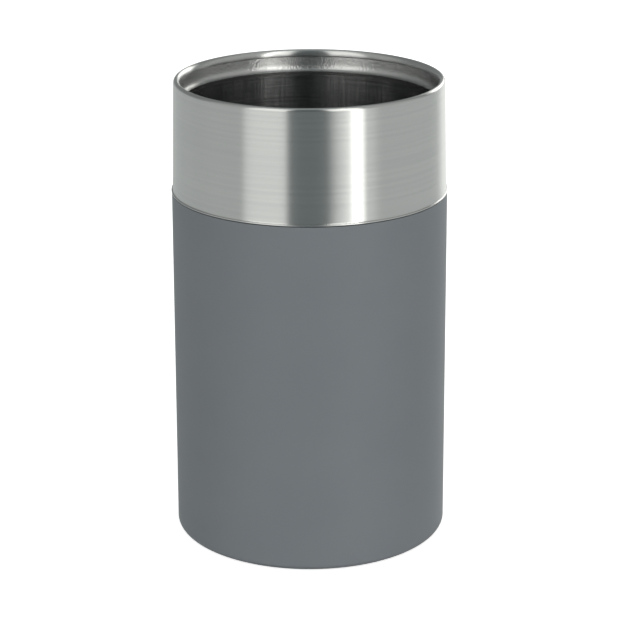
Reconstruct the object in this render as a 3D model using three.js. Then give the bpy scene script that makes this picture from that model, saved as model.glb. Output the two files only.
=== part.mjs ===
// Double-walled bottle cooler: a brushed steel collar and liner cup on a matt shell, closed by a base plate.
// Millimetres, +Z up, origin at the bottom centre, where the foot ring meets the table.
// Every piece is turned about the Z axis, so each one is a closed radial section spun by spin().

import * as THREE from 'three';

// Overall
const HEIGHT = 200;
const SEGMENTS = 64;
const CLEARANCE = 0.15;

// Collar: one pressed sheet, from the rolled hem up the outer band, over the bead and down the channel to the lip
const COLLAR_SHEET = 0.7;
const SEAM_HEIGHT = 151.9;
const HEM_RADIUS = 58.7;
const HEM_ROLL_RADIUS = 0.38;
const FLARE = 0.16;
const FLARE_HEIGHT = 7;
const BAND_BOTTOM_RADIUS = 58.07;
const BAND_TOP_RADIUS = 57;
const BEAD_OUTER_WIDTH = 1.25;
const BEAD_OUTER_DROP = 1.4;
const BEAD_INNER_WIDTH = 1.7;
const BEAD_INNER_DROP = 2.8;
const CHANNEL_TOP = 196.7;
const CHANNEL_LEAN = 0.7;
const COVE_DEPTH = 1.4;
const COVE_POWER = 7;
const COVE_DROP = 0.3;
const CAVITY_TOP = 192.3;
const LIP_RADIUS = 53.9;
const LIP_TOP = 190.5;
const LIP_BOTTOM = 188.6;
const LIP_UNDERCUT = 0.3;
const LIP_EDGE = 0.22;

// Liner cup: the mouth bends out into a flange that hangs on the sleeve's neck
const CUP_SHEET = 0.6;
const CUP_MOUTH_RADIUS = 54.6;
const CUP_FOOT_RADIUS = 53.6;
const CUP_FLOOR = 10;
const CUP_CORNER_RADIUS = 8;
const FLANGE_RADIUS = 56.05;
const FLANGE_TOP = 189.1;
const FLANGE_BEND = 0.7;

// Outer sleeve: widens a little towards its open bottom, and a neck inside the collar carries the cup
const SLEEVE_WALL = 1.6;
const SLEEVE_TOP_RADIUS = 58.5;
const SLEEVE_BOTTOM_RADIUS = 58.9;
const SLEEVE_BOTTOM = 0.6;
const SLEEVE_CORNER_RADIUS = 2.3;
const SHOULDER_HEIGHT = 151.55;
const NECK_INNER_RADIUS = 55.2;
const NECK_BASE_RADIUS = 57.05;
const NECK_TOP_RADIUS = 56.2;
const NECK_STRAIGHT_TOP = 158;
const NECK_TAPER = 6;
const SKIRT_RADIUS = 56;
const STOP_RADIUS = 55;
const STOP_BOTTOM = 3.4;
const STOP_HEIGHT = 1.6;
const STOP_TAPER = 2;

// Gaskets
const SEAM_GASKET_RADIUS = 58.3;
const SEAM_GASKET_WIDTH = 1.1;
const SEAM_GASKET_HEIGHT = 0.3;

// Foam cradle on the base plate, with an upstand that centres the cup
const CRADLE_GAP = 0.3;
const CRADLE_TOP = 22;

// Base plate and the non-slip ring in its underside
const BASE_BOTTOM = 1;
const FOOT_INNER_RADIUS = 44;
const FOOT_OUTER_RADIUS = 53;
const GROOVE_DEPTH = 1;

const FINISHES = {
  brushedSteel: { color: 0xb9bab7, roughness: 0.28, metalness: 1 },
  linerSteel: { color: 0x8c8a86, roughness: 0.35, metalness: 1 },
  shell: { color: 0x737a7f, roughness: 0.6, metalness: 0 },
  seal: { color: 0x2c2e30, roughness: 0.8, metalness: 0 },
  foam: { color: 0xd9d7d0, roughness: 0.95, metalness: 0 },
  plate: { color: 0x5d6468, roughness: 0.65, metalness: 0 },
};

const at = (radius, height) => new THREE.Vector2(radius, height);

// Points of an elliptical arc about a centre, from one angle to another in degrees, both ends included.
function oval(centre, width, height, fromDegrees, toDegrees, steps) {
  return Array.from({ length: steps + 1 }, (_, step) => {
    const degrees = THREE.MathUtils.lerp(fromDegrees, toDegrees, step / steps);
    const angle = THREE.MathUtils.degToRad(degrees);
    return at(centre.x + width * Math.cos(angle), centre.y + height * Math.sin(angle));
  });
}

// Points of a circular arc.
function arc(centre, radius, fromDegrees, toDegrees, steps) {
  return oval(centre, radius, radius, fromDegrees, toDegrees, steps);
}

// Spins a closed section, listed anticlockwise with the axis on its left, into a solid about +Z.
function spin(name, finish, section) {
  const onAxis = section[0].x === 0;
  const profile = onAxis ? section : [...section, section[0].clone()];
  const geometry = new THREE.LatheGeometry(profile, SEGMENTS);
  geometry.rotateX(Math.PI / 2);
  const mesh = new THREE.Mesh(geometry, new THREE.MeshStandardMaterial(FINISHES[finish]));
  mesh.name = name;
  return mesh;
}

// Radius of the outer band at a height, narrowing evenly from the hem to the bead.
function bandRadius(height) {
  const taper = THREE.MathUtils.inverseLerp(SEAM_HEIGHT, HEIGHT - BEAD_OUTER_DROP, height);
  return THREE.MathUtils.lerp(BAND_BOTTOM_RADIUS, BAND_TOP_RADIUS, taper);
}

// The band's foot, which flares a little just above the hem.
function bandFoot(inset) {
  const steps = 4;
  const low = SEAM_HEIGHT + 2 * HEM_ROLL_RADIUS;
  return Array.from({ length: steps + 1 }, (_, step) => {
    const t = step / steps;
    const height = low + FLARE_HEIGHT * t;
    return at(bandRadius(height) + FLARE * (1 - t) ** 2 - inset, height);
  });
}

// Radius of the channel's wall at a height: it leans outwards evenly, and coves in to the lip at its foot.
function channelRadius(height) {
  const rise = THREE.MathUtils.inverseLerp(LIP_TOP, CHANNEL_TOP, height);
  return LIP_RADIUS + CHANNEL_LEAN * rise + COVE_DEPTH * (1 - (1 - rise) ** COVE_POWER);
}

// The channel's wall, from one height to another.
function channel(from, to, steps) {
  return Array.from({ length: steps + 1 }, (_, step) => {
    const height = THREE.MathUtils.lerp(from, to, step / steps);
    return at(channelRadius(height), height);
  });
}

// The hidden face of the cove, from the lip up to where the channel's wall lies against the band.
function coveBack(outset, drop) {
  return channel(LIP_TOP, CAVITY_TOP, 4).map((p) => at(p.x + outset, p.y - drop));
}

function rimCollar() {
  const hemCentre = at(HEM_RADIUS - HEM_ROLL_RADIUS, SEAM_HEIGHT + HEM_ROLL_RADIUS);
  const crest = BAND_TOP_RADIUS - BEAD_OUTER_WIDTH;
  return spin('rim_collar', 'brushedSteel', [
    ...arc(hemCentre, HEM_ROLL_RADIUS, -90, 90, 4),
    ...bandFoot(0),
    ...oval(at(crest, HEIGHT - BEAD_OUTER_DROP), BEAD_OUTER_WIDTH, BEAD_OUTER_DROP, 0, 90, 4),
    ...oval(at(crest, HEIGHT - BEAD_INNER_DROP), BEAD_INNER_WIDTH, BEAD_INNER_DROP, 90, 180, 5).slice(1),
    ...channel(CHANNEL_TOP, LIP_TOP, 9),
    at(LIP_RADIUS + LIP_UNDERCUT, LIP_BOTTOM),
    at(LIP_RADIUS + LIP_UNDERCUT + LIP_EDGE, LIP_BOTTOM),
    ...coveBack(COLLAR_SHEET, COVE_DROP),
    at(bandRadius(CAVITY_TOP) - COLLAR_SHEET, CAVITY_TOP - COVE_DROP),
    ...bandFoot(COLLAR_SHEET).reverse(),
    at(BAND_BOTTOM_RADIUS - COLLAR_SHEET, SEAM_HEIGHT),
  ]);
}

// The seal fills the corner between the cup's flange and the back of the collar's cove.
function cupGasket() {
  const face = coveBack(COLLAR_SHEET + CLEARANCE, COVE_DROP + CLEARANCE).filter((p) => p.x < FLANGE_RADIUS);
  return spin('cup_gasket', 'seal', [
    at(face[0].x, FLANGE_TOP),
    at(FLANGE_RADIUS, FLANGE_TOP),
    at(FLANGE_RADIUS, face.at(-1).y),
    ...face.reverse(),
  ]);
}

// Centre of the bend between the cup's wall and its floor.
const cupCorner = at(CUP_FOOT_RADIUS - CUP_CORNER_RADIUS, CUP_FLOOR + CUP_CORNER_RADIUS);

function innerCup() {
  const bendCentre = at(CUP_MOUTH_RADIUS + FLANGE_BEND, FLANGE_TOP - FLANGE_BEND);
  return spin('inner_cup', 'linerSteel', [
    at(0, CUP_FLOOR - CUP_SHEET),
    ...arc(cupCorner, CUP_CORNER_RADIUS + CUP_SHEET, -90, 0, 5),
    ...arc(bendCentre, FLANGE_BEND - CUP_SHEET, 180, 90, 2),
    at(FLANGE_RADIUS, FLANGE_TOP - CUP_SHEET),
    at(FLANGE_RADIUS, FLANGE_TOP),
    ...arc(bendCentre, FLANGE_BEND, 90, 180, 3),
    ...arc(cupCorner, CUP_CORNER_RADIUS, 0, -90, 5),
    at(0, CUP_FLOOR),
  ]);
}

function outerSleeve() {
  const cornerCentre = at(SLEEVE_BOTTOM_RADIUS - SLEEVE_CORNER_RADIUS, SLEEVE_BOTTOM + SLEEVE_CORNER_RADIUS);
  const neckTop = FLANGE_TOP - CUP_SHEET - CLEARANCE;
  const stopTop = STOP_BOTTOM + STOP_HEIGHT;
  return spin('outer_sleeve', 'shell', [
    ...arc(cornerCentre, SLEEVE_CORNER_RADIUS, -90, 0, 5),
    at(SLEEVE_TOP_RADIUS, SHOULDER_HEIGHT),
    at(NECK_BASE_RADIUS, SHOULDER_HEIGHT),
    at(NECK_BASE_RADIUS, NECK_STRAIGHT_TOP),
    at(NECK_TOP_RADIUS, neckTop),
    at(NECK_INNER_RADIUS, neckTop),
    at(NECK_INNER_RADIUS, SHOULDER_HEIGHT),
    at(SLEEVE_TOP_RADIUS - SLEEVE_WALL, SHOULDER_HEIGHT - NECK_TAPER),
    at(SLEEVE_BOTTOM_RADIUS - SLEEVE_WALL, stopTop + STOP_TAPER),
    at(STOP_RADIUS, stopTop),
    at(STOP_RADIUS, STOP_BOTTOM),
    at(SKIRT_RADIUS, STOP_BOTTOM),
    at(SKIRT_RADIUS, SLEEVE_BOTTOM),
  ]);
}

// A thin dark ring on the sleeve's shoulder, under the collar's hem.
function seamGasket() {
  const inner = SEAM_GASKET_RADIUS - SEAM_GASKET_WIDTH;
  const top = SHOULDER_HEIGHT + SEAM_GASKET_HEIGHT;
  return spin('seam_gasket', 'seal', [
    at(inner, SHOULDER_HEIGHT),
    at(SEAM_GASKET_RADIUS, SHOULDER_HEIGHT),
    at(SEAM_GASKET_RADIUS, top),
    at(inner, top),
  ]);
}

function cupCradle() {
  const reach = CUP_CORNER_RADIUS + CUP_SHEET + CRADLE_GAP;
  const outer = SLEEVE_BOTTOM_RADIUS - SLEEVE_WALL - CRADLE_GAP;
  const stepBottom = STOP_BOTTOM + STOP_HEIGHT + CRADLE_GAP;
  return spin('cup_cradle', 'foam', [
    at(0, STOP_BOTTOM),
    at(STOP_RADIUS - CLEARANCE, STOP_BOTTOM),
    at(STOP_RADIUS - CLEARANCE, stepBottom),
    at(outer, stepBottom + STOP_TAPER + CRADLE_GAP),
    at(outer, CRADLE_TOP),
    at(cupCorner.x + reach, CRADLE_TOP),
    ...arc(cupCorner, reach, 0, -90, 5),
    at(0, cupCorner.y - reach),
  ]);
}

function basePlate() {
  const grooveTop = BASE_BOTTOM + GROOVE_DEPTH;
  const top = STOP_BOTTOM - CLEARANCE;
  return spin('base_plate', 'plate', [
    at(0, BASE_BOTTOM),
    at(FOOT_INNER_RADIUS, BASE_BOTTOM),
    at(FOOT_INNER_RADIUS, grooveTop),
    at(FOOT_OUTER_RADIUS, grooveTop),
    at(FOOT_OUTER_RADIUS, BASE_BOTTOM),
    at(SKIRT_RADIUS - CLEARANCE, BASE_BOTTOM),
    at(SKIRT_RADIUS - CLEARANCE, top),
    at(0, top),
  ]);
}

function footRing() {
  const inner = FOOT_INNER_RADIUS + CLEARANCE;
  const outer = FOOT_OUTER_RADIUS - CLEARANCE;
  const top = BASE_BOTTOM + GROOVE_DEPTH - CLEARANCE;
  return spin('foot_ring', 'seal', [at(inner, 0), at(outer, 0), at(outer, top), at(inner, top)]);
}

const cooler = new THREE.Group();
cooler.add(
  rimCollar(),
  cupGasket(),
  innerCup(),
  outerSleeve(),
  seamGasket(),
  cupCradle(),
  basePlate(),
  footRing(),
);

export default cooler;
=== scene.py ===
"""Insulated bottle cooler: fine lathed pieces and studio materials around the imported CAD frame."""

import math

import bpy
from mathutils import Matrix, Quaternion, Vector


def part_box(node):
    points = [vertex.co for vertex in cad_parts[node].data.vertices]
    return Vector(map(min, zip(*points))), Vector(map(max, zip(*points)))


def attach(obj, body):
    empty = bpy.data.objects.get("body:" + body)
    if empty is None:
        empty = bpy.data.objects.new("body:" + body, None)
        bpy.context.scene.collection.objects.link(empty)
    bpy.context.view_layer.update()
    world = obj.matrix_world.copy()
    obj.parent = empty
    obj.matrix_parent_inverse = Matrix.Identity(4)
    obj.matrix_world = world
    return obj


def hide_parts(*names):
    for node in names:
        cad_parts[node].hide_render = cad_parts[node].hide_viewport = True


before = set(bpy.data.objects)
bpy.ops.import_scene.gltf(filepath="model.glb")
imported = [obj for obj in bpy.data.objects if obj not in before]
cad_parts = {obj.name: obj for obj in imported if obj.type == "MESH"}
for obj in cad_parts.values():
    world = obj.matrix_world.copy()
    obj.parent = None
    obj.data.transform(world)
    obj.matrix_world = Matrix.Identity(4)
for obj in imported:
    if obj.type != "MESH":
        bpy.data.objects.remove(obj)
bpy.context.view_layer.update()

MM = 0.001
TURNS = 320  # steps round a lathed piece
EDGE = 0.15 * MM  # rounding of a moulded or cut edge

# What a bounding box can't give: sheet thicknesses, and the shape of each section within its box
COLLAR_SHEET = 0.7 * MM
CUP_SHEET = 0.6 * MM
SLEEVE_WALL = 1.6 * MM
CLEARANCE = 0.15 * MM

# Collar, its insets measured inwards from the hem's outside and its drops down from the top
HEM_ROLL = 0.38 * MM
FLARE, FLARE_HEIGHT = 0.16 * MM, 7 * MM
BAND_LOW_INSET, BAND_TOP_INSET = 0.63 * MM, 1.7 * MM
BEAD_OUTER_WIDTH, BEAD_OUTER_DROP = 1.25 * MM, 1.4 * MM
BEAD_INNER_WIDTH, BEAD_INNER_DROP = 1.7 * MM, 2.8 * MM
CHANNEL_DROP, CHANNEL_LEAN = 3.3 * MM, 0.7 * MM
COVE_DEPTH, COVE_POWER, COVE_BACK_DROP = 1.4 * MM, 7, 0.3 * MM
CAVITY_DROP = 7.7 * MM
GRAIN_INSET, GRAIN_DROP = 2.4 * MM, 3 * MM  # the channel's grain ends here, in the bead's shadow
LIP_INSET, LIP_DROP, LIP_LOW_DROP = 4.8 * MM, 9.5 * MM, 11.4 * MM
LIP_UNDERCUT, LIP_EDGE = 0.3 * MM, 0.22 * MM

# Liner cup, its insets measured inwards from the flange's edge
MOUTH_INSET, FOOT_INSET = 1.45 * MM, 2.45 * MM
FLANGE_BEND, CUP_CORNER = 0.7 * MM, 8 * MM

# Sleeve, its insets measured inwards from its widest point, near the foot
SLEEVE_TOP_INSET, SLEEVE_CORNER = 0.4 * MM, 2.3 * MM
NECK_INSET, NECK_TOP_INSET, NECK_INNER_INSET = 1.85 * MM, 2.7 * MM, 3.7 * MM
NECK_STRAIGHT, NECK_TAPER = 6.45 * MM, 6 * MM
SKIRT_INSET, STOP_INSET, STOP_TAPER = 2.9 * MM, 3.9 * MM, 2 * MM

# Cradle: room round the cup's corner, and the step that clears the sleeve's stop
CRADLE_GAP, CRADLE_CORNER = 0.3 * MM, 8.6 * MM
CRADLE_STEP_INSET, CRADLE_STEP_RISE, CRADLE_STEP_TAPER = 2.15 * MM, 1.9 * MM, 2.3 * MM

# Rings: how far each reaches inwards from its outside
SEAM_GASKET_WIDTH = 1.1 * MM
FOOT_RING_WIDTH = 8.7 * MM

# Camera: its distance in metres, tilt and roll in degrees, the height that it looks at on the cooler's
# axis, and its focal length in millimetres
CAMERA_DISTANCE = 0.975
CAMERA_PITCH = 18.65
CAMERA_ROLL = -0.19
AIM_HEIGHT = 0.09705
LENS = 130.65

FLOOR_RADIUS = 6.0


# ---------------------------------------------------------------- sections and lathing

def oval(centre, width, height, start, end, steps):
    """Points of an elliptical arc about centre, from start to end in degrees."""
    angles = [math.radians(start + (end - start) * i / steps) for i in range(steps + 1)]
    return [(centre[0] + width * math.cos(a), centre[1] + height * math.sin(a)) for a in angles]


def arc(centre, radius, start, end, steps=8):
    """Points of a circular arc."""
    return oval(centre, radius, radius, start, end, steps)


def round_corner(before, here, after, radius, steps=5):
    """Points of the arc that rounds the corner at here."""
    back, ahead = (before - here).normalized(), (after - here).normalized()
    half = back.angle(ahead) / 2
    centre = here + (back + ahead).normalized() * radius / math.sin(half)
    reach = radius / math.tan(half)
    start, end = (here + way * reach - centre for way in (back, ahead))
    first = math.degrees(math.atan2(start.y, start.x))
    turn = math.degrees(math.atan2(end.y, end.x)) - first
    turn -= 360 * round(turn / 360)
    return arc(centre, radius, first, first + turn, steps)


def soften(section):
    """Rounds each corner that is given as (radius, height, rounding) and leaves the other points."""
    points = []
    for i, corner in enumerate(section):
        if len(corner) == 2:
            points.append(corner)
            continue
        before, after = section[i - 1], section[(i + 1) % len(section)]
        points += round_corner(Vector(before[:2]), Vector(corner[:2]), Vector(after[:2]), corner[2])
    return points


def section_normals(section):
    """Outward normals of an anticlockwise section, each side counting by its length at a shared point."""
    sides = []
    for i, here in enumerate(section):
        ahead = section[(i + 1) % len(section)]
        open_side = here[0] == 0 and ahead[0] == 0
        sides.append(Vector((0, 0)) if open_side else Vector((ahead[1] - here[1], here[0] - ahead[0])))
    return [(sides[i - 1] + sides[i]).normalized() for i in range(len(section))]


def lathe(name, section, node, material):
    """Spins an anticlockwise section about Z into a smooth closed mesh that stands for a CAD node."""
    section = soften(section)
    circle = [2 * math.pi * k / TURNS for k in range(TURNS)]
    rings, vertices, normals = [], [], []
    for (radius, height), normal in zip(section, section_normals(section)):
        start = len(vertices)
        if radius == 0:
            rings.append([start] * TURNS)
            vertices.append((0, 0, height))
            normals.append((0, 0, math.copysign(1, normal.y)))
            continue
        rings.append(range(start, start + TURNS))
        for a in circle:
            vertices.append((radius * math.cos(a), radius * math.sin(a), height))
            normals.append((normal.x * math.cos(a), normal.x * math.sin(a), normal.y))
    faces = []
    for i, low in enumerate(rings):
        high = rings[(i + 1) % len(rings)]
        for k in range(TURNS):
            n = (k + 1) % TURNS
            quad = [low[k], low[n], high[n], high[k]]
            face = [v for j, v in enumerate(quad) if v != quad[j - 1]]
            if len(face) > 2:
                faces.append(face)
    mesh = bpy.data.meshes.new(name)
    mesh.from_pydata(vertices, [], faces)
    mesh.shade_smooth()
    mesh.normals_split_custom_set_from_vertices(normals)
    mesh.materials.append(material)
    piece = bpy.data.objects.new(name, mesh)
    bpy.context.scene.collection.objects.link(piece)
    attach(piece, "root")
    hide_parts(node)
    return piece


# ---------------------------------------------------------------- materials

class Nodes:
    """A node tree, with short calls that add a node and link or set its sockets."""

    def __init__(self, tree):
        self.tree = tree

    def feed(self, socket, value):
        if isinstance(value, bpy.types.NodeSocket):
            self.tree.links.new(value, socket)
        else:
            socket.default_value = value

    def add(self, kind, inputs, **settings):
        node = self.tree.nodes.new(kind)
        for key, value in settings.items():
            setattr(node, key, value)
        for key, value in inputs.items():
            self.feed(node.inputs[key], value)
        return node

    def maths(self, operation, *values):
        return self.add("ShaderNodeMath", dict(enumerate(values)), operation=operation).outputs[0]


class Finish(Nodes):
    """A material's node tree."""

    def __init__(self, name):
        self.material = bpy.data.materials.new(name)
        self.material.use_nodes = True
        super().__init__(self.material.node_tree)
        self.shader = self.tree.nodes["Principled BSDF"]

    def shade(self, **inputs):
        for key, value in inputs.items():
            self.feed(self.shader.inputs[key.replace("_", " ")], value)

    def noise(self, scale, detail=3.0):
        """Noise on object coordinates in metres, scale being how fine it is along each axis."""
        coordinates = self.add("ShaderNodeTexCoord", {})
        mapping = self.add("ShaderNodeMapping", {"Vector": coordinates.outputs["Object"], "Scale": scale})
        inputs = {"Vector": mapping.outputs[0], "Scale": 1.0, "Detail": detail}
        return self.add("ShaderNodeTexNoise", inputs).outputs["Fac"]

    def remap(self, value, low, high):
        """Noise, which spreads about 0.5, stretched to run from low to high."""
        inputs = {"Value": value, "From Min": 0.3, "From Max": 0.7, "To Min": low, "To Max": high}
        return self.add("ShaderNodeMapRange", inputs).outputs["Result"]

    def within(self, value, radius, height):
        """The value inside a radius about the axis and below a height, and nothing beyond them."""
        axes = self.add("ShaderNodeSeparateXYZ", {0: self.add("ShaderNodeTexCoord", {}).outputs["Object"]})
        x, y, z = axes.outputs
        across = self.add("ShaderNodeCombineXYZ", {0: x, 1: y}).outputs[0]
        reach = self.add("ShaderNodeVectorMath", {0: across}, operation="LENGTH").outputs["Value"]
        inside = self.maths("LESS_THAN", reach, radius)
        below = self.maths("LESS_THAN", z, height)
        return self.maths("MULTIPLY", value, self.maths("MULTIPLY", inside, below))

    def two_tone(self, factor, first, second):
        """A colour between first and second, by a factor that spreads about 0.5."""
        inputs = {0: self.remap(factor, 0.0, 1.0), 6: (*first, 1), 7: (*second, 1)}
        return self.add("ShaderNodeMix", inputs, data_type="RGBA").outputs[2]

    def bump(self, height, strength, depth, under=None):
        """A surface raised by height, depth being its size in metres, on top of the bump under it."""
        inputs = {"Height": height, "Strength": strength, "Distance": depth}
        if under is not None:
            inputs["Normal"] = under
        return self.add("ShaderNodeBump", inputs).outputs["Normal"]


def brushed_steel(name, dark, light, roughness, spread):
    """Steel brushed round the axis: reflections smear along the axis, and fine streaks run round the piece.

    The channel inside the rim was out of the brush's reach, and keeps the fine upright grain of drawn sheet.
    """
    f = Finish(name)
    streaks = f.noise((25, 25, 5200), detail=4)
    bands = f.noise((9, 9, 900))
    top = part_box("rim_collar")[1]
    grain = f.within(f.noise((1800, 1800, 900), detail=2), top.x - GRAIN_INSET, top.z - GRAIN_DROP)
    tangent = f.add("ShaderNodeTangent", {}, direction_type="RADIAL", axis="Z")
    f.shade(
        Base_Color=f.two_tone(bands, dark, light),
        Metallic=1.0,
        Roughness=f.remap(streaks, roughness - spread, roughness + spread),
        Anisotropic=0.93,
        Anisotropic_Rotation=0.25,
        Tangent=tangent.outputs["Tangent"],
        Normal=f.bump(grain, 0.9, 0.12 * MM, f.bump(streaks, 0.15, 0.02 * MM)),
    )
    return f.material


def liner_steel():
    """The liner's steel: darker than the collar's, as painted shade of the deep cup, with rings from brushing
    and marks along the axis from drawing the cup.
    """
    f = Finish("liner_steel")
    streaks = f.noise((30, 30, 3600), detail=4)
    draw_marks = f.noise((1500, 1500, 60))
    rings = f.noise((35, 35, 1500), detail=3)
    marks = f.maths("MULTIPLY_ADD", draw_marks, rings, 0.25)  # 0.25 brings their product's mean back to 0.5
    tangent = f.add("ShaderNodeTangent", {}, direction_type="RADIAL", axis="Z")
    f.shade(
        # painted shade: both colours sit far below the collar's steel to darken the cup's hollow; the spread
        # between them is the steel's own tone from rings and drawing marks
        Base_Color=f.two_tone(marks, (0.17, 0.177, 0.182), (0.48, 0.485, 0.485)),
        Metallic=1.0,
        Roughness=f.remap(streaks, 0.22, 0.27),
        Anisotropic=0.9,
        Anisotropic_Rotation=0.25,
        Tangent=tangent.outputs["Tangent"],
        Normal=f.bump(draw_marks, 0.2, 0.02 * MM, f.bump(streaks, 0.2, 0.02 * MM)),
    )
    return f.material


def moulded(name, dark, light, smooth, rough, grain_size, depth):
    """A matt moulded or coated surface with a fine even grain."""
    f = Finish(name)
    grain = f.noise((grain_size,) * 3)
    clouds = f.noise((30, 30, 30))
    f.shade(
        Base_Color=f.two_tone(clouds, dark, light),
        Roughness=f.remap(grain, smooth, rough),
        Normal=f.bump(grain, 0.25, depth),
    )
    return f.material


# ---------------------------------------------------------------- the pieces

def channel(low, high, steps, outset=0.0, drop=0.0):
    """The collar's inner wall between two heights, which leans out evenly and coves in to the lip below."""
    box_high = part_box("rim_collar")[1]
    lip, lip_top, channel_top = box_high.x - LIP_INSET, box_high.z - LIP_DROP, box_high.z - CHANNEL_DROP
    points = []
    for i in range(steps + 1):
        height = low + (high - low) * i / steps
        rise = (height - lip_top) / (channel_top - lip_top)
        radius = lip + CHANNEL_LEAN * rise + COVE_DEPTH * (1 - (1 - rise) ** COVE_POWER)
        points.append((radius + outset, height - drop))
    return points


def collar(material):
    """The pressed collar: rolled hem, tapering band, bead, channel with a cove below, and undercut lip."""
    low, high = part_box("rim_collar")
    hem, seam, top = high.x, low.z, high.z
    band_low, band_high, lip = hem - BAND_LOW_INSET, hem - BAND_TOP_INSET, hem - LIP_INSET
    cavity_top, lip_top, lip_low = top - CAVITY_DROP, top - LIP_DROP, top - LIP_LOW_DROP
    crest = band_high - BEAD_OUTER_WIDTH

    def band(height):
        """The outer band's radius, which narrows evenly from the hem to the bead."""
        return band_low + (band_high - band_low) * (height - seam) / (top - BEAD_OUTER_DROP - seam)

    def band_foot(inset, steps=12):
        """The band's foot, which flares a little just above the hem."""
        points = []
        for i in range(steps + 1):
            height = seam + 2 * HEM_ROLL + FLARE_HEIGHT * i / steps
            points.append((band(height) + FLARE * (1 - i / steps) ** 2 - inset, height))
        return points

    return lathe("collar", [
        *arc((hem - HEM_ROLL, seam + HEM_ROLL), HEM_ROLL, -90, 80, 12),
        *band_foot(0),
        *oval((crest, top - BEAD_OUTER_DROP), BEAD_OUTER_WIDTH, BEAD_OUTER_DROP, 0, 90, 16),
        *oval((crest, top - BEAD_INNER_DROP), BEAD_INNER_WIDTH, BEAD_INNER_DROP, 90, 180, 24)[1:-1],
        (crest - BEAD_INNER_WIDTH, top - BEAD_INNER_DROP, 0.08 * MM),
        *channel(top - CHANNEL_DROP, lip_top, 48)[:-1],
        (lip, lip_top, 0.06 * MM),
        (lip + LIP_UNDERCUT, lip_low, 0.05 * MM),
        (lip + LIP_UNDERCUT + LIP_EDGE, lip_low, 0.05 * MM),
        *channel(lip_top, cavity_top, 12, COLLAR_SHEET, COVE_BACK_DROP),
        (band(cavity_top) - COLLAR_SHEET, cavity_top - COVE_BACK_DROP),
        *band_foot(COLLAR_SHEET)[::-1],
        (band_low - COLLAR_SHEET, seam),
    ], "rim_collar", material)


def cup(material):
    """The drawn liner cup: a flat floor, a rounded corner, and a mouth that bends out into a flange."""
    low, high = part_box("inner_cup")
    rim, top, underside = high.x, high.z, low.z
    floor = underside + CUP_SHEET
    bend_centre = (rim - MOUTH_INSET + FLANGE_BEND, top - FLANGE_BEND)
    corner_centre = (rim - FOOT_INSET - CUP_CORNER, floor + CUP_CORNER)
    return lathe("cup", [
        (0, underside),
        *arc(corner_centre, CUP_CORNER + CUP_SHEET, -90, 0, 16),
        *arc(bend_centre, FLANGE_BEND - CUP_SHEET, 180, 90, 6),
        (rim, top - CUP_SHEET, 0.1 * MM),
        (rim, top, 0.1 * MM),
        *arc(bend_centre, FLANGE_BEND, 90, 180, 12),
        *arc(corner_centre, CUP_CORNER, 0, -90, 16),
        (0, floor),
    ], "inner_cup", material)


def sleeve(material):
    """The outer shell, with a neck inside the collar at its top and a step inside its foot for the cradle."""
    low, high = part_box("outer_sleeve")
    widest, bottom, neck_top = high.x, low.z, high.z
    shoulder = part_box("seam_gasket")[0].z
    plate_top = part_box("base_plate")[1].z
    top_radius, neck = widest - SLEEVE_TOP_INSET, widest - NECK_INSET
    skirt, stop, stop_low = widest - SKIRT_INSET, widest - STOP_INSET, plate_top + CLEARANCE
    return lathe("sleeve", [
        *arc((widest - SLEEVE_CORNER, bottom + SLEEVE_CORNER), SLEEVE_CORNER, -90, 0, 16),
        (top_radius, shoulder, 0.25 * MM),
        (neck, shoulder),
        (neck, shoulder + NECK_STRAIGHT),
        (widest - NECK_TOP_INSET, neck_top),
        (widest - NECK_INNER_INSET, neck_top),
        (widest - NECK_INNER_INSET, shoulder),
        (top_radius - SLEEVE_WALL, shoulder - NECK_TAPER),
        (widest - SLEEVE_WALL, stop_low + SLEEVE_WALL + STOP_TAPER),
        (stop, stop_low + SLEEVE_WALL),
        (stop, stop_low),
        (skirt, stop_low),
        (skirt, bottom, EDGE),
    ], "outer_sleeve", material)


def ring(name, node, material, rounding, width):
    """A plain ring of rectangular section with its edges rounded, width being how far it reaches inwards."""
    low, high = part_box(node)
    inner = high.x - width
    corners = [(inner, low.z), (high.x, low.z), (high.x, high.z), (inner, high.z)]
    return lathe(name, [(*corner, rounding) for corner in corners], node, material)


def gasket(material):
    """The wedge seal that fits the back of the collar's cove, with a little room all round."""
    low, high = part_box("cup_gasket")
    lip_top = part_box("rim_collar")[1].z - LIP_DROP
    drop = COVE_BACK_DROP + CLEARANCE
    face = channel(lip_top, high.z + drop, 12, COLLAR_SHEET + CLEARANCE, drop)
    return lathe("cup_gasket_ring", [
        (face[0][0], low.z),
        (high.x, low.z, EDGE),
        (high.x, high.z),
        *face[::-1],
    ], "cup_gasket", material)


def cradle(material):
    """The foam dish that the cup stands in."""
    low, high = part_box("cup_cradle")
    cup_low, cup_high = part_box("inner_cup")
    outer, top = high.x, high.z
    reach = CRADLE_CORNER + CRADLE_GAP
    centre = (cup_high.x - FOOT_INSET - CUP_CORNER, cup_low.z + CRADLE_CORNER)
    step, step_low = outer - CRADLE_STEP_INSET, low.z + CRADLE_STEP_RISE
    return lathe("cradle", [
        (0, low.z),
        (step, low.z, 0.3 * MM),
        (step, step_low),
        (outer, step_low + CRADLE_STEP_TAPER),
        (outer, top, 0.5 * MM),
        (centre[0] + reach, top, 0.5 * MM),
        *arc(centre, reach, 0, -90, 12),
        (0, cup_low.z - CRADLE_GAP),
    ], "cup_cradle", material)


def base(material):
    """The plate that closes the sleeve, with a groove for the foot ring."""
    low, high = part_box("base_plate")
    ring_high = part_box("foot_ring")[1]
    groove_top = ring_high.z + CLEARANCE
    groove_in, groove_out = ring_high.x - FOOT_RING_WIDTH - CLEARANCE, ring_high.x + CLEARANCE
    return lathe("base", [
        (0, low.z),
        (groove_in, low.z, EDGE),
        (groove_in, groove_top),
        (groove_out, groove_top),
        (groove_out, low.z, EDGE),
        (high.x, low.z, 0.3 * MM),
        (high.x, high.z, EDGE),
        (0, high.z),
    ], "base_plate", material)


# ---------------------------------------------------------------- stage, light and camera

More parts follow.
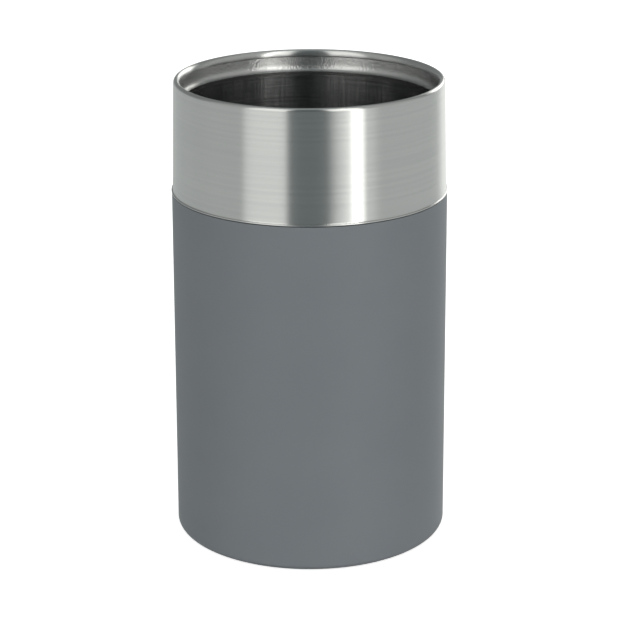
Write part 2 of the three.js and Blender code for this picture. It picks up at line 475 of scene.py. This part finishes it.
def emitter(name, colour, strength):
    """A plain stage material that glows white by strength. It is for the floor, not for a piece."""
    material = bpy.data.materials.new(name)
    material.use_nodes = True
    shader = material.node_tree.nodes["Principled BSDF"]
    shader.inputs["Base Color"].default_value = (*colour, 1)
    shader.inputs["Roughness"].default_value = 0.9
    shader.inputs["Emission Color"].default_value = (1, 1, 1, 1)
    shader.inputs["Emission Strength"].default_value = strength
    return material


def disc(name, radius, height, material, seen):
    """A round floor, either seen by the camera only or meeting diffuse light only."""
    mesh = bpy.data.meshes.new(name)
    edge = arc((0, 0), radius, 0, 360, 96)[:-1]
    mesh.from_pydata([(x, y, height) for x, y in edge], [], [range(len(edge))])
    mesh.materials.append(material)
    floor = bpy.data.objects.new(name, mesh)
    bpy.context.scene.collection.objects.link(floor)
    floor.visible_camera = seen
    floor.visible_diffuse = not seen
    floor.visible_glossy = False
    floor.visible_transmission = False
    floor.visible_shadow = not seen


# The studio is a grey tent with walls and soft boxes round the object. Each row is one of them: the azimuth
# of its left edge and how soft that edge is, the same for its right edge, the elevation of its lower and
# upper edges and how soft they are, all in degrees, and its brightness. Azimuth 0 is in front and 90 on the
# right. Rows that overlap add up.
LIGHTS = [
    (-127, 5, -58.5, 3, -95, 1, 8, 0.35),  # left wall, dark higher up towards the back
    (-163, 5, -127, 5, -95, 1, 8, 0.33),
    (-97, 14, -54, 3, 1, 70, 8, 0.35),
    (-163, 5, -97, 14, 1, 70, 8, 0.12),
    (-200, 1, -163, 5, -95, 1, 8, 0.34),  # back wall, dark higher up
    (-200, 1, -163, 5, 1, 70, 8, 0.12),
    (-57.5, 3, -18.6, 2, -95, 1, 8, 0.65),  # left box, brighter and narrower above the horizon
    (-53.5, 3, -18.6, 2, 1, 64, 8, 1.3),
    (24, 9, 47, 2, -95, 1, 8, 0.68),  # right box, with a white strip in it
    (35.5, 1.5, 46.5, 1.5, -95, 1, 8, 1.5),
    (17, 4, 43.5, 2, 1, 66, 8, 1.5),
    (34.5, 2, 43.5, 2, 1, 66, 8, 1.7),
    (47, 2, 57, 6, -95, 1, 8, 0.33),  # fading edge of the right box
    (49, 2, 200, 1, -95, 1, 8, 0.38),  # right wall, dark higher up towards the back
    (45, 2, 112, 12, 1, 70, 8, 0.38),
    (112, 12, 200, 1, 1, 70, 8, 0.16),
    (131, 3, 168, 6, 6, 27, 5, 2.2),  # box behind on the right, and its glow below
    (142, 8, 180, 5, -95, 4, 6, 0.42),
]

# The tent is brighter below the horizon than above it, and grey overhead. Each change is centred on an
# elevation and has a softness, in degrees.
TENT_COLOUR, TENT_LOW, TENT_HIGH = (0.88, 1.0, 1.0), 0.24, 0.13
HORIZON, HORIZON_SOFTNESS = 2, 10
CEILING, CEILING_EDGE, CEILING_SOFTNESS = 0.45, 68, 14
BOX_COLOUR = (1.0, 0.995, 0.95)


class Studio(Nodes):
    """The world's node tree."""

    def __init__(self):
        world = bpy.data.worlds.new("studio")
        bpy.context.scene.world = world
        world.use_nodes = True
        super().__init__(world.node_tree)
        self.shader = self.tree.nodes["Background"]
        self.output = self.tree.nodes["World Output"]

    def step(self, value, middle, softness, low=0.0, high=1.0):
        """A smooth step from low to high about an angle in degrees."""
        start, end = math.radians(middle - softness), math.radians(middle + softness)
        inputs = {"Value": value, "From Min": start, "From Max": end, "To Min": low, "To Max": high}
        return self.add("ShaderNodeMapRange", inputs, interpolation_type="SMOOTHSTEP").outputs["Result"]

    def glow(self, colour, strength):
        return self.add("ShaderNodeBackground", {"Color": (*colour, 1), "Strength": strength}).outputs[0]


def studio_light():
    """Light from the tent and its boxes, and plain white where the camera looks past the object."""
    s = Studio()
    direction = s.add("ShaderNodeTexCoord", {}).outputs["Generated"]
    axes = s.add("ShaderNodeSeparateXYZ", {"Vector": direction})
    azimuth = s.maths("ARCTAN2", axes.outputs["X"], s.maths("MULTIPLY", axes.outputs["Y"], -1.0))
    elevation = s.maths("ARCSINE", axes.outputs["Z"])
    boxes = 0.0
    for left, left_soft, right, right_soft, low, high, soft, brightness in LIGHTS:
        across = s.maths("SUBTRACT", s.step(azimuth, left, left_soft), s.step(azimuth, right, right_soft))
        up = s.maths("SUBTRACT", s.step(elevation, low, soft), s.step(elevation, high, soft))
        boxes = s.maths("ADD", boxes, s.maths("MULTIPLY", s.maths("MULTIPLY", across, up), brightness))
    tent = s.step(elevation, HORIZON, HORIZON_SOFTNESS, TENT_LOW, TENT_HIGH)
    overhead = s.step(elevation, CEILING_EDGE, CEILING_SOFTNESS, 0.0, CEILING - TENT_HIGH)
    tent = s.maths("ADD", tent, overhead)
    light = s.add("ShaderNodeAddShader", {0: s.glow(TENT_COLOUR, tent), 1: s.glow(BOX_COLOUR, boxes)})
    seen = s.add("ShaderNodeLightPath", {}).outputs["Is Camera Ray"]
    mix = s.add("ShaderNodeMixShader", {0: seen, 1: light.outputs[0], 2: s.glow((1, 1, 1), 1.0)})
    s.tree.links.new(mix.outputs[0], s.output.inputs["Surface"])
    s.tree.nodes.remove(s.shader)


def camera():
    """The camera in front of the cooler, looking down at it."""
    pitch = math.radians(CAMERA_PITCH)
    data = bpy.data.cameras.new("camera")
    data.sensor_width = 36.0
    data.lens = LENS
    data.clip_start, data.clip_end = 0.01, 50
    eye = bpy.data.objects.new("camera", data)
    eye.location = (0, -CAMERA_DISTANCE * math.cos(pitch), AIM_HEIGHT + CAMERA_DISTANCE * math.sin(pitch))
    aim = Vector((0, 0, AIM_HEIGHT)) - eye.location
    eye.rotation_mode = "QUATERNION"
    roll = Quaternion((0, 0, 1), math.radians(CAMERA_ROLL))
    eye.rotation_quaternion = aim.to_track_quat("-Z", "Y") @ roll
    bpy.context.scene.collection.objects.link(eye)
    bpy.context.scene.camera = eye


# ---------------------------------------------------------------- build

steel = brushed_steel("brushed_steel", (0.585, 0.585, 0.585), (0.615, 0.615, 0.61), 0.25, 0.02)
rubber = moulded("seal_rubber", (0.025, 0.027, 0.03), (0.035, 0.037, 0.04), 0.7, 0.85, 2500, 0.03 * MM)
foot_rubber = moulded("foot_rubber", (0.04, 0.042, 0.045), (0.055, 0.057, 0.06), 0.75, 0.9, 1800, 0.06 * MM)
shell = moulded("matt_shell", (0.28, 0.303, 0.338), (0.294, 0.317, 0.352), 0.48, 0.6, 4200, 0.02 * MM)
plastic = moulded("base_plastic", (0.1, 0.115, 0.125), (0.12, 0.135, 0.145), 0.5, 0.65, 2200, 0.05 * MM)
foam = moulded("foam", (0.68, 0.67, 0.63), (0.76, 0.75, 0.71), 0.85, 0.97, 900, 0.15 * MM)

collar(steel)
cup(liner_steel())
sleeve(shell)
ring("seam_ring", "seam_gasket", rubber, 0.08 * MM, SEAM_GASKET_WIDTH)
ring("foot", "foot_ring", foot_rubber, 0.4 * MM, FOOT_RING_WIDTH)
gasket(rubber)
cradle(foam)
base(plastic)

disc("floor_seen", FLOOR_RADIUS, 0.02 * MM, emitter("floor_white", (0.85, 0.85, 0.85), 0.8), True)
disc("floor_lit", FLOOR_RADIUS, 0.0, emitter("floor_bounce", (0.2, 0.2, 0.2), 0.0), False)
studio_light()
camera()
bpy.context.scene.view_settings.view_transform = "Standard"
